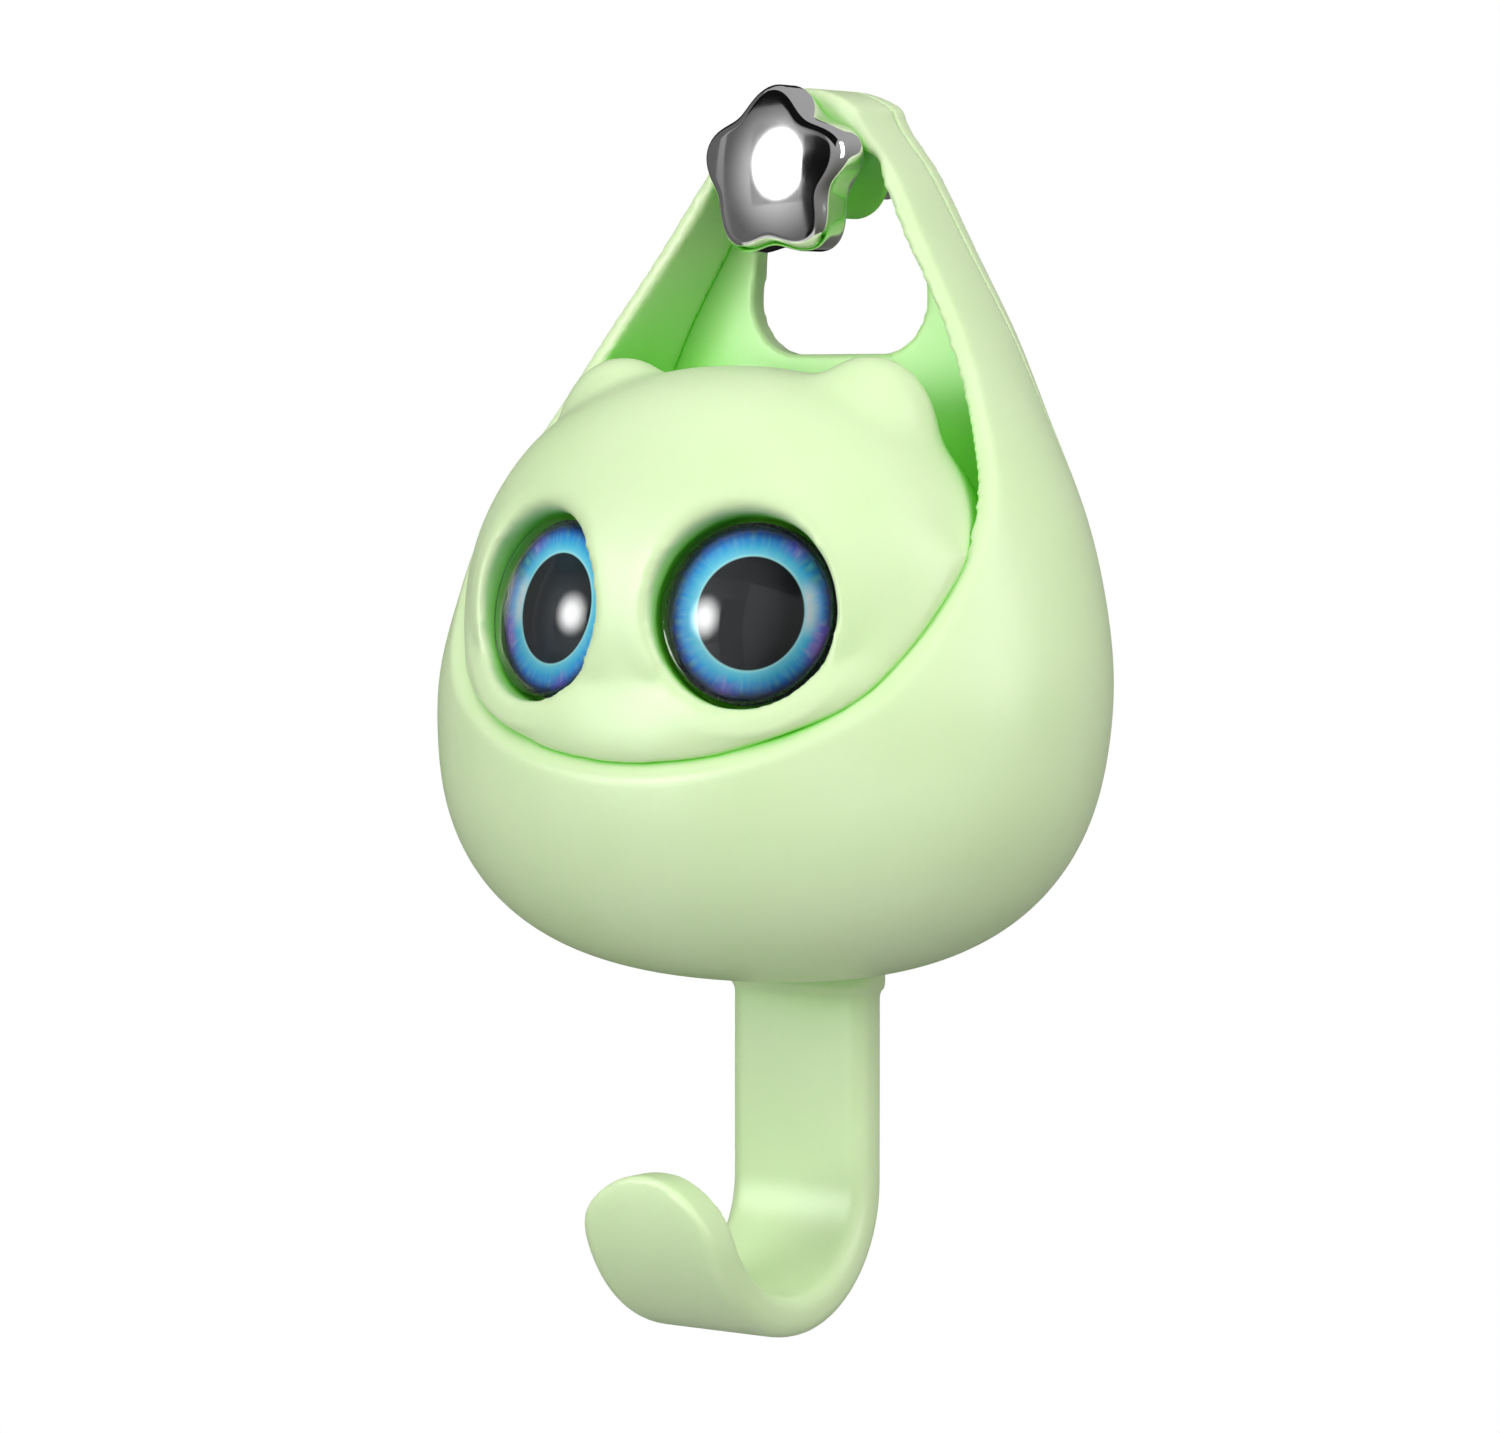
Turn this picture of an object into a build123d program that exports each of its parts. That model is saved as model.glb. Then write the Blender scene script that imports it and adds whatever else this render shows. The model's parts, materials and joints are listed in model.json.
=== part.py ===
"""Cat-in-a-sling wall hook, in millimetres.

A teardrop sling hangs over a wall peg, behind a five-petal chrome cap, and can swing on it. A cat's head with two
turning doll eyes sits in the pouch, and the cat's tail below is the hook that keys hang on.

Frame: +Z up, the front faces -Y, the wall is the plane Y = 0, and the origin is where the peg's axis meets the wall.
"""
from build123d import *
import math
import os

os.makedirs("parts", exist_ok=True)

# --- driving dimensions -------------------------------------------------------------------------------------
EYE_R = 8.0              # clear dome of each doll eye
WALL = 2.0               # moulded wall of the sling
BACK_Y = -0.7            # back of the plate, just clear of the wall
PLATE_Y = -2.8           # front of the back plate, where the sling shell lands on it
FAR = 200.0              # longer than the whole object, for cutting tools

# Sling: elliptical level sections, as (height, half width, half depth, centre depth).
POUCH_MID_Z = -46.0      # widest level of the pouch
POUCH_BELOW = 26.4       # from there down to the lowest point
POUCH_HALF_WIDTH = 33.9
POUCH_HALF_DEPTH = 22.4
POUCH_Y = -13.6
POUCH_LEAN = 2.4         # the lowest point sits this much further forwards
POUCH_POWER = 2.6        # how full the underside is: 2 is an ellipse
POUCH_LEVELS = (0.995, 0.97, 0.88, 0.75, 0.6, 0.4, 0.18)
STRAP_LEVELS = [
    (POUCH_MID_Z, POUCH_HALF_WIDTH, POUCH_HALF_DEPTH, POUCH_Y),
    (-38.0, 32.5, 21.4, -12.5),
    (-30.0, 29.5, 20.9, -11.6),
    (-22.0, 24.7, 20.4, -10.4),
    (-14.0, 19.9, 20.0, -9.2),
    (-8.0, 15.8, 20.0, -8.4),
    (-3.0, 12.6, 20.0, -7.8),
    (1.5, 9.5, 20.0, -7.4),
    (9.5, 7.0, 20.0, -7.4),
]
ARCH_R = 10.6            # outside radius of the loop over the peg
ARCH_Z = -2.7            # its centre
ARCH_START_Z = 1.5       # the arc rounds the sling off above this
STRAP_FRONT_Y = -9.3     # front edge of the loop
# Side view of the front edge, from the loop down to the lip under the chin, as (depth, height).
EDGE_POINTS = [(STRAP_FRONT_Y, 0.0), (-11.0, -9.0), (-13.0, -17.0), (-17.2, -27.0), (-24.0, -38.0),
               (-30.6, -47.0), (-35.8, -52.6)]
EDGE_END = (-42.0, -59.0)
# Crown of the loop's opening, and the seat that rests on the peg.
CROWN_HALF = 8.8
CROWN_Z = (1.2, 3.3)
SEAT_R = 3.9

# Window in the back plate, right half from top to bottom, as (across, height).
WINDOW_SIDE = [(8.2, 1.2), (9.2, -7.0), (10.4, -16.1)]
WINDOW_CORNER_R = 5.0

# Head
HEAD_MID = (0.0, -19.0, -40.0)
HEAD_HALF = (27.5, 17.0, 22.7)
HEAD_POWER = 2.1
HEAD_FIT = 0.2           # space between the head and the sling's wall, where the head is stepped to fit
HEAD_LEVELS = (-0.69, -0.5, -0.25, 0.0, 0.25, 0.5, 0.7, 0.85, 0.95, 0.995)
HEAD_WALL = 2.0
HEAD_BACK_Y = -4.2
HEAD_SPLIT_Y = -12.0
EAR_HALF = (7.0, 4.6, 7.9)
EAR_AT = (13.4, -17.4, -24.1)
EAR_LEAN = 8.0
CHIN_Z = -33.0           # below this the face swells out, flush with the sling's front edge

# Eyes: each has a frame on its socket's rim, with +Z out along the line of sight.
EYE_AT = (11.5, -34.4, -38.2)
EYE_SPLAY = 15.0
EYE_TILT = 10.0
SOCKET_R = 8.75
SOCKET_WALL = 1.6
RECESS = 2.6             # from the socket's rim back to the edge of the dome
DOME_R = 15.5
GIRDLE = 0.8             # straight edge of the dome
IRIS_T = 0.3
CUP_T = 1.5
FLOOR_GAP = 0.5
FLOOR_T = 1.6
STEM_R = 1.9
STEM_L = 4.6
STEM_HOLE_R = 2.0
LOCK_R = 4.6
LOCK_T = 0.8
LOCK_GAP = 0.2

# Peg, wall screw and cap
PEG_R = 3.7
PEG_L = 9.8
PEG_BORE_R = 2.05
PEG_FOOT_R = 3.0         # relieved foot, so that only a ring touches the wall
PEG_FOOT_T = 0.6
PEG_COUNTERBORE_R = 2.9
PEG_STEP = 5.0           # depth of the screw head's seat from the wall
NECK_R = 2.0             # inside the peg
SHANK_R = 1.75
SHANK_PLAIN = 5.0        # plain shank beyond the wall face
THREAD_ROOT_R = 1.25
THREAD_R = 1.7
THREAD_PITCH = 1.4
THREAD_TURNS = 4
WALL_SLOT = (3.4, 1.4, 0.8)
POINT_L = 2.6
WALL_HEAD_R = 2.75
WALL_HEAD_T = 2.0
CAP_T = 4.7
CAP_R = 7.25             # mean radius of the petals
PETAL = 0.8              # how far they stand out and in
PETALS = 5
CAP_DOME_R = 15.0
SPIGOT_R = 2.85
SPIGOT_L = 2.4

# Tail hook
TAIL_HALF = 7.6          # half its width
TAIL_T = 3.8
TAIL_EDGE_R = 1.6
TAIL_Y = -7.7
TAIL_LOW_Z = -102.2      # lowest point of the middle of its thickness
TAIL_REAR_R = 10.8       # bends, to the middle of its thickness
TAIL_FRONT_R = 12.6
TAIL_TIP_Z = -88.5
TAIL_TOP_Z = -66.0
TANG_HALF = 4.6
TANG_TOP_Z = -58.0
TANG_FIT = 0.2
COLLAR_Z = -73.8
COLLAR_GROW = 0.35

# Screws driven forwards through the plate and the head's rear shell
SCREW_R = 0.95
HOLE_R = 1.0
SCREW_HEAD_R = 1.9
SCREW_HEAD_T = 1.0
SLOT_LONG = 2.2          # cross slot in a small screw's head
SLOT_WIDE = 0.5
SLOT_DEEP = 1.0
HEAD_POCKET_R = 2.1
HEAD_POCKET_T = 1.1
BOSS_R = 2.6
PLATE_SCREWS = [(24.3, -38.0), (-24.3, -38.0), (20.5, -59.0), (-20.5, -59.0)]
PLATE_SCREW_L = 5.0
PLATE_BOSS_L = 4.6
HEAD_SCREWS = [(10.5, -29.0), (-10.5, -29.0), (12.0, -52.0), (-12.0, -52.0)]
HEAD_SCREW_L = 12.0
HEAD_HOLE_END_Y = -18.5
MOUNT_SCREWS = [(0.0, -32.0), (0.0, -48.0)]
MOUNT_SCREW_L = 8.0
MOUNT_BOSS_END_Y = -11.0
TAIL_SCREWS = [(2.4, -60.6), (-2.4, -60.6)]
TAIL_SCREW_L = 6.0
BUMPERS = [(14.5, -22.5), (-14.5, -22.5), (0.0, -66.0)]
BUMPER_R = 2.2
BUMPER_SINK = 0.5
BUMPER_PROUD = 0.5


def save(shape, name):
    export_step(shape, f"parts/{name}.step")


def mirrored(shape):
    return mirror(shape, about=Plane.YZ)


def rod(radius, x, z, y_back, y_front):
    """Round bar along Y between two depths."""
    base = Plane(origin=(x, y_back, z), z_dir=(0, -1, 0))
    return base * Cylinder(radius, y_back - y_front, align=(Align.CENTER, Align.CENTER, Align.MIN))


def rods(radius, places, y_back, y_front):
    return [rod(radius, x, z, y_back, y_front) for x, z in places]


def slab(y_back, y_front):
    """Everything between two depths."""
    return Pos(0, (y_back + y_front) / 2, 0) * Box(FAR, y_back - y_front, 2 * FAR)


def fullness(share, power):
    """Half width of a rounded shape, as a share, at this share of its half height."""
    return (1 - abs(share) ** power) ** (1 / power)


def oval(z, half_x, half_y, centre_y):
    return Plane(origin=(0, centre_y, z), z_dir=(0, 0, 1)) * Ellipse(half_x, half_y)


def front_profile(wires):
    """Face from a front view, as (across, height), pushed through everything."""
    face = make_face(Plane.XZ * wires)
    return extrude(face, FAR / 2, both=True)


# --- sling ---------------------------------------------------------------------------------------------------
def sling_volume(inset):
    """The sling's outside, moved inwards by inset. Inset, it stops at the crown of the opening."""
    levels = []
    for share in POUCH_LEVELS:
        size = fullness(share, POUCH_POWER)
        z = POUCH_MID_Z - share * (POUCH_BELOW - inset)
        levels.append((z, POUCH_HALF_WIDTH * size, POUCH_HALF_DEPTH * size, POUCH_Y - share * POUCH_LEAN))
    levels += STRAP_LEVELS
    if inset:
        levels = [level for level in levels if level[0] <= ARCH_START_Z and level[1] > 2 * inset]
    body = loft([oval(z, half_x - inset, half_y - inset, y) for z, half_x, half_y, y in levels])
    if inset:
        return body
    above = Pos(0, 0, ARCH_START_Z + FAR / 2) * Box(FAR, FAR, FAR)
    return body - (above - rod(ARCH_R, 0, ARCH_Z, FAR / 2, -FAR / 2))


def crown():
    """Top of the loop's opening: a shallow arch with a round seat for the peg."""
    low, high = CROWN_Z
    arch = ThreePointArc((-CROWN_HALF, low), (0, high), (CROWN_HALF, low))
    base = Polyline((CROWN_HALF, low), (CROWN_HALF, low - 2), (-CROWN_HALF, low - 2), (-CROWN_HALF, low))
    return front_profile(arch + base) + rod(SEAT_R, 0, 0, FAR / 2, -FAR / 2)


def window():
    """The opening through the back plate, up to the crown."""
    left = [(-x, z) for x, z in reversed(WINDOW_SIDE)]
    outline = Plane.XZ * Polyline(*WINDOW_SIDE, *left, WINDOW_SIDE[0])
    face = make_face(outline)
    low_corners = face.vertices().group_by(Axis.Z)[0]
    face = fillet(low_corners, WINDOW_CORNER_R)
    return extrude(face, FAR / 2, both=True) + crown()


def front_cut():
    """Everything in front of the sling's front edge."""
    edge = Spline(*EDGE_POINTS, EDGE_END)
    y, z = EDGE_END
    rest = Polyline((y, z), (-FAR / 2, z), (-FAR / 2, FAR / 4), (STRAP_FRONT_Y, FAR / 4), EDGE_POINTS[0])
    face = make_face(Plane.YZ * (edge + rest))
    return extrude(face, FAR / 2, both=True)


def tang_box(grow, z_low, z_high):
    size = Box(2 * (TANG_HALF + grow), TAIL_T + 2 * grow, z_high - z_low)
    return Pos(0, TAIL_Y, (z_low + z_high) / 2) * size


OUTER = sling_volume(0)
CROWN = crown()


def sling_shell():
    inside = sling_volume(WALL)
    shell = OUTER - inside - CROWN - front_cut()
    for boss in rods(BOSS_R, PLATE_SCREWS, PLATE_Y, PLATE_Y - PLATE_BOSS_L):
        shell += boss & OUTER
    shell = shell & slab(PLATE_Y, -FAR / 2)
    for hole in rods(HOLE_R, PLATE_SCREWS, BACK_Y, PLATE_Y - PLATE_BOSS_L):
        shell -= hole
    return shell - tang_box(TANG_FIT, COLLAR_Z, TANG_TOP_Z)


def back_plate():
    plate = OUTER & slab(BACK_Y, PLATE_Y)
    plate -= window()
    for pad in rods(BOSS_R, MOUNT_SCREWS, PLATE_Y, HEAD_BACK_Y):
        plate += pad
    places = PLATE_SCREWS + MOUNT_SCREWS + TAIL_SCREWS
    for hole in rods(HOLE_R, places, BACK_Y, HEAD_BACK_Y):
        plate -= hole
    for pocket in rods(HEAD_POCKET_R, places, BACK_Y, BACK_Y - HEAD_POCKET_T):
        plate -= pocket
    for pocket in rods(BUMPER_R, BUMPERS, BACK_Y, BACK_Y - BUMPER_SINK):
        plate -= pocket
    return plate


def bumpers():
    return Compound(rods(BUMPER_R, BUMPERS, BACK_Y + BUMPER_PROUD, BACK_Y - BUMPER_SINK))


def screws(places, seat_y, length):
    """Pan-head screws whose heads sit on seat_y and point forwards."""
    made = []
    for x, z in places:
        head = rod(SCREW_HEAD_R, x, z, seat_y + SCREW_HEAD_T, seat_y)
        shank = rod(SCREW_R, x, z, seat_y, seat_y - length)
        middle = Pos(x, seat_y + SCREW_HEAD_T, z)
        slot = middle * Box(SLOT_LONG, SLOT_DEEP, SLOT_WIDE) + middle * Box(SLOT_WIDE, SLOT_DEEP, SLOT_LONG)
        made.append(head + shank - slot)
    return Compound([solid for screw in made for solid in screw.solids()])


# --- head ----------------------------------------------------------------------------------------------------
def head_volume(inset):
    x, y, z = HEAD_MID
    sections = []
    for share in HEAD_LEVELS:
        size = fullness(share, HEAD_POWER)
        level = z + share * (HEAD_HALF[2] - inset)
        sections.append(oval(level, (HEAD_HALF[0] - inset) * size, (HEAD_HALF[1] - inset) * size, y))
    return loft(sections)


def ear():
    """A low rounded ear on the +X side."""
    ball = scale(Sphere(1.0), by=EAR_HALF)
    return Pos(*EAR_AT) * Rot(0, EAR_LEAN, 0) * ball


def eye_frame():
    splay, tilt = math.radians(EYE_SPLAY), math.radians(EYE_TILT)
    sight = (math.sin(splay) * math.cos(tilt), -math.cos(splay) * math.cos(tilt), math.sin(tilt))
    return Plane(origin=EYE_AT, x_dir=(math.cos(splay), math.sin(splay), 0), z_dir=sight)


EYE_FRAME = eye_frame()
RIM_Z = -RECESS
DOME_BASE_Z = RIM_Z - GIRDLE
IRIS_BACK_Z = DOME_BASE_Z - IRIS_T
CUP_BACK_Z = IRIS_BACK_Z - CUP_T
FLOOR_Z = CUP_BACK_Z - FLOOR_GAP
FLOOR_BACK_Z = FLOOR_Z - FLOOR_T
LOCK_Z = FLOOR_BACK_Z - LOCK_GAP


def eye_disc(radius, z_low, z_high):
    """Round disc in the +X eye's frame."""
    disc = Cylinder(radius, z_high - z_low, align=(Align.CENTER, Align.CENTER, Align.MIN))
    return EYE_FRAME * Pos(0, 0, z_low) * disc


def head_shell():
    """The whole hollow head, with ears and sockets, before it is split into front and rear."""
    chin = sling_volume(HEAD_FIT) & Pos(0, -HEAD_FIT, 0) * front_cut() & (Pos(0, 0, CHIN_Z - FAR) * Box(FAR, FAR, 2 * FAR))
    outside = head_volume(0) + chin
    inside = head_volume(HEAD_WALL) & sling_volume(WALL + HEAD_FIT + HEAD_WALL)
    tube = eye_disc(SOCKET_R + SOCKET_WALL, FLOOR_BACK_Z, 2 * RECESS) & outside
    shell = outside + ear() + mirrored(ear())
    shell = shell - inside
    shell = shell + tube + mirrored(tube)
    for pillar in rods(BOSS_R, HEAD_SCREWS, HEAD_BACK_Y, -FAR / 4):
        shell += pillar & outside
    for boss in rods(BOSS_R, MOUNT_SCREWS, HEAD_BACK_Y, MOUNT_BOSS_END_Y):
        shell += boss
    back_wall = slab(HEAD_BACK_Y, HEAD_BACK_Y - HEAD_WALL) & outside
    shell = (shell + back_wall) & slab(HEAD_BACK_Y, -FAR / 2)
    shell -= OUTER - sling_volume(WALL + HEAD_FIT) - Pos(0, -HEAD_FIT, 0) * front_cut()
    bore = eye_disc(SOCKET_R, FLOOR_Z, EYE_R)
    stem_hole = eye_disc(STEM_HOLE_R, FLOOR_BACK_Z - 1, FLOOR_Z + 1)
    shell = shell - bore - mirrored(bore) - stem_hole - mirrored(stem_hole)
    for hole in rods(HOLE_R, HEAD_SCREWS, HEAD_BACK_Y, HEAD_HOLE_END_Y):
        shell -= hole
    for hole in rods(HOLE_R, MOUNT_SCREWS, HEAD_BACK_Y, MOUNT_BOSS_END_Y + 1):
        shell -= hole
    for pocket in rods(HEAD_POCKET_R, HEAD_SCREWS, HEAD_BACK_Y, HEAD_BACK_Y - HEAD_POCKET_T):
        shell -= pocket
    return shell


# --- eyes ----------------------------------------------------------------------------------------------------
def eye_lens():
    rise = DOME_R - math.sqrt(DOME_R ** 2 - EYE_R ** 2)
    ball = EYE_FRAME * Pos(0, 0, RIM_Z + rise - DOME_R) * Sphere(DOME_R)
    return eye_disc(EYE_R, DOME_BASE_Z, RIM_Z + rise) & ball


def eye_cup():
    stem = eye_disc(STEM_R, CUP_BACK_Z - STEM_L, CUP_BACK_Z)
    return eye_disc(EYE_R, CUP_BACK_Z, IRIS_BACK_Z) + stem


def lock_washer():
    return eye_disc(LOCK_R, LOCK_Z - LOCK_T, LOCK_Z) - eye_disc(STEM_R, LOCK_Z - 2 * LOCK_T, LOCK_Z + LOCK_T)


# --- peg, screw and cap --------------------------------------------------------------------------------------
def wall_peg():
    peg = rod(PEG_R, 0, 0, 0, -PEG_L) - rod(PEG_BORE_R, 0, 0, 0, -PEG_L)
    peg -= rod(PEG_FOOT_R, 0, 0, 0, -PEG_FOOT_T)
    return peg - rod(PEG_COUNTERBORE_R, 0, 0, -PEG_STEP, -PEG_L)


def wall_screw():
    """Head in the peg's counterbore, plain shank through the wall face, ringed thread and a point behind it."""
    pieces = rod(WALL_HEAD_R, 0, 0, -PEG_STEP, -PEG_STEP - WALL_HEAD_T) + rod(NECK_R, 0, 0, 0, -PEG_STEP)
    pieces += rod(SHANK_R, 0, 0, SHANK_PLAIN, 0)
    y = SHANK_PLAIN
    half = THREAD_PITCH / 2
    outline = [(0, y), (SHANK_R, y)]
    for turn in range(THREAD_TURNS):
        outline += [(THREAD_ROOT_R, y + half), (THREAD_R, y + THREAD_PITCH)]
        y += THREAD_PITCH
    outline += [(0, y + POINT_L)]
    face = make_face(Polyline(*outline, close=True))
    threaded = revolve(face, Axis.Y, 360)
    slot = Pos(0, -PEG_STEP - WALL_HEAD_T, 0) * Box(*WALL_SLOT)
    return pieces + threaded - slot - Rot(0, 90, 0) * slot


def flower_cap():
    points = []
    steps = 8 * PETALS
    for step in range(steps):
        angle = math.tau * step / steps
        radius = CAP_R + PETAL * math.cos(PETALS * angle)
        points.append((radius * math.sin(angle), radius * math.cos(angle)))
    outline = Plane.XZ * Spline(*points, periodic=True)
    blank = extrude(make_face(outline), FAR / 2, both=True) & slab(-PEG_L, -PEG_L - CAP_T)
    dome = Pos(0, -PEG_L - CAP_T + CAP_DOME_R, 0) * Sphere(CAP_DOME_R)
    return (blank & dome) + rod(SPIGOT_R, 0, 0, -PEG_L + SPIGOT_L, -PEG_L)


# --- tail ----------------------------------------------------------------------------------------------------
def tail_hook():
    """A flat strap that drops from the pouch, curves forwards and ends in a round tip."""
    front_y = TAIL_Y - TAIL_REAR_R - TAIL_FRONT_R
    low_y = TAIL_Y - TAIL_REAR_R
    rear_z, front_z = TAIL_LOW_Z + TAIL_REAR_R, TAIL_LOW_Z + TAIL_FRONT_R
    across = Plane(origin=(0, TAIL_Y, rear_z), z_dir=(0, 0, 1))
    section = across * RectangleRounded(2 * TAIL_HALF, TAIL_T, TAIL_EDGE_R)
    drop = extrude(section, TAIL_TOP_Z - rear_z)
    rear_bend = revolve(section, Axis((0, low_y, rear_z), (1, 0, 0)), -90)
    lowest = Plane(origin=(0, low_y, TAIL_LOW_Z), z_dir=(0, 1, 0), x_dir=(1, 0, 0))
    low_section = lowest * RectangleRounded(2 * TAIL_HALF, TAIL_T, TAIL_EDGE_R)
    front_bend = revolve(low_section, Axis((0, low_y, front_z), (1, 0, 0)), -90)
    tip_plane = Plane(origin=(0, front_y, front_z), z_dir=(0, 0, 1))
    tip = extrude(tip_plane * RectangleRounded(2 * TAIL_HALF, TAIL_T, TAIL_EDGE_R), TAIL_TIP_Z - front_z)
    # The tip is rounded by a disc seen from the front.
    disc = rod(TAIL_HALF, 0, TAIL_TIP_Z - TAIL_HALF, low_y, -FAR / 4)
    below = Pos(0, low_y - FAR / 2, TAIL_TIP_Z - TAIL_HALF - FAR / 2) * Box(FAR, FAR, FAR)
    strap = drop + rear_bend + ((front_bend + tip) & (disc + below))
    collar_section = Rectangle(2 * (TAIL_HALF + COLLAR_GROW), TAIL_T + 2 * COLLAR_GROW)
    collar_section = fillet(collar_section.vertices(), TAIL_EDGE_R)
    collar = extrude(Pos(0, TAIL_Y, COLLAR_Z) * collar_section, TAIL_TOP_Z - COLLAR_Z)
    outside = (strap + collar) - OUTER
    tail = outside + tang_box(0, COLLAR_Z, TANG_TOP_Z)
    for boss in rods(HEAD_POCKET_R, TAIL_SCREWS, PLATE_Y, TAIL_Y):
        tail += boss
    for hole in rods(HOLE_R, TAIL_SCREWS, PLATE_Y, TAIL_Y + TAIL_T / 4 - TAIL_T / 2):
        tail -= hole
    return tail


def build_all():
    save(wall_peg(), "wall_peg")
    save(wall_screw(), "wall_screw")
    save(flower_cap(), "flower_cap")
    save(sling_shell(), "sling_shell")
    save(back_plate(), "back_plate")
    seat_y = BACK_Y - HEAD_POCKET_T
    save(screws(PLATE_SCREWS, seat_y, PLATE_SCREW_L), "back_plate_screws")
    save(screws(MOUNT_SCREWS, seat_y, MOUNT_SCREW_L), "head_mount_screws")
    save(screws(TAIL_SCREWS, seat_y, TAIL_SCREW_L), "tail_screws")
    save(bumpers(), "wall_bumpers")
    save(tail_hook(), "tail_hook")
    shell = head_shell()
    save(shell & slab(HEAD_SPLIT_Y, -FAR / 2), "head_front")
    save(shell & slab(HEAD_BACK_Y, HEAD_SPLIT_Y), "head_back")
    save(screws(HEAD_SCREWS, HEAD_BACK_Y - HEAD_POCKET_T, HEAD_SCREW_L), "head_screws")
    pieces = {
        "eye_lens": eye_lens(),
        "eye_iris": eye_disc(EYE_R - 0.1, IRIS_BACK_Z, DOME_BASE_Z),
        "eye_cup": eye_cup(),
        "eye_lock_washer": lock_washer(),
    }
    for name, piece in pieces.items():
        save(piece, f"{name}_right")
        save(mirrored(piece), f"{name}_left")


build_all()
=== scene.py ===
import json
import math

import bpy
from mathutils import Matrix, Vector

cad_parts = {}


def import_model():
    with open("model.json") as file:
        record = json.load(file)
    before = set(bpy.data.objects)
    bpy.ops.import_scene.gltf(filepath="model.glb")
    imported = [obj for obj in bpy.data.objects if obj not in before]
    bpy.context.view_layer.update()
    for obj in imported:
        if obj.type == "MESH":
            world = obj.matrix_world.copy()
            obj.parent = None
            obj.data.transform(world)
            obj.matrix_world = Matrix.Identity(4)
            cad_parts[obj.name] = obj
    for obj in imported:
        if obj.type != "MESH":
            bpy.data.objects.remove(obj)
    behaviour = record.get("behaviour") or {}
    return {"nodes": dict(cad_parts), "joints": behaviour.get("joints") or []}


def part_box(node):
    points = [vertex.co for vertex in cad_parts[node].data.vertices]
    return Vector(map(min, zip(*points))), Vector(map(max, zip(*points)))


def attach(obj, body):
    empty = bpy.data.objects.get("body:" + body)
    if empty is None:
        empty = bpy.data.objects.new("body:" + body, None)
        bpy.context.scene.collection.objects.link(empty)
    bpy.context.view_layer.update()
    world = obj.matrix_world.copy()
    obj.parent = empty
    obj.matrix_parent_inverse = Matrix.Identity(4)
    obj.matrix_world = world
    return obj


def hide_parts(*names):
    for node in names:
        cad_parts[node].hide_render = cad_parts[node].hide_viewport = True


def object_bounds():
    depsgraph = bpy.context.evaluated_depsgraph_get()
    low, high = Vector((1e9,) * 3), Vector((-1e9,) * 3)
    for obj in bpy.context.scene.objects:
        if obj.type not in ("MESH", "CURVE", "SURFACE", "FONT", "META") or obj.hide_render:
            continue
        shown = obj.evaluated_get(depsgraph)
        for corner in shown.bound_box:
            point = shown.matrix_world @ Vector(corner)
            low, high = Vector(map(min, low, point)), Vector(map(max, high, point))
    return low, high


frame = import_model()
cad_low, cad_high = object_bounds()

MM = 0.001
BLACK_RGB = (0.0, 0.0, 0.0)
WHITE_RGB = (1.0, 1.0, 1.0)

# --- camera -------------------------------------------------------------------
CAMERA_AT = Vector((282.5, -405.4, -21.3)) * MM
CAMERA_AZIMUTH = math.radians(36.0)
CAMERA_DIP = math.radians(3.27)
CAMERA_LENS = 128.4
SENSOR = 36.0
CLIP_START = 0.01

# --- soft edges ---------------------------------------------------------------
SHELL_VOXEL = 0.38 * MM
HEAD_VOXEL = 0.36 * MM
TAIL_VOXEL = 0.30 * MM
HEAD_SWELL = 0.2 * MM       # closes the seam between face and sling to a fine groove
SMOOTH_FACTOR = 0.5
PLATE_Y = -2.8 * MM         # the joint face between sling shell and back plate
SEAM_KEEP = 0.9 * MM        # nothing is softened this close to the joint face
SHELL_FADE = 0.8 * MM       # from there, how soon the softening has its full weight
PLATE_FADE = 0.5 * MM
UPPER_EDGE_Z = -40.0 * MM   # the sling's edge is rounder above this height
UPPER_EDGE_FADE = 8.0 * MM
EARS_Z = -33.0 * MM         # the ears are blended into the head above this height
CHIN_TOP_Z = -24.0 * MM     # the chin is blended into the head below this height,
CHIN_BACK_Y = -16.0 * MM    # in front of this depth,
SOCKET_CLEAR = 11.0 * MM    # and this far from an eye's line of sight
SOCKET_FADE = 1.0 * MM
HEAD_FADE = 4.0 * MM

# --- eyes ---------------------------------------------------------------------
EYE_R = 8.0 * MM
DOME_R = 15.5 * MM
RECESS = 2.6 * MM
GIRDLE = 0.8 * MM
GIRDLE_CHAMFER = 0.1 * MM
RIM_SOFT = 0.35 * MM
RIM_FALL = 0.8              # the rim's depth, as a share of RIM_SOFT
LENS_BACK = -RECESS - 0.05 * MM     # the lens's back and edge are behind this height
IRIS_R = 7.6 * MM
IRIS_T = 0.26 * MM
IRIS_GAP = 0.02 * MM        # between print and lens
EYE_STEPS = 96
DOME_RINGS = 40
RIM_RINGS = 8
IRIS_RINGS = 24

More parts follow.
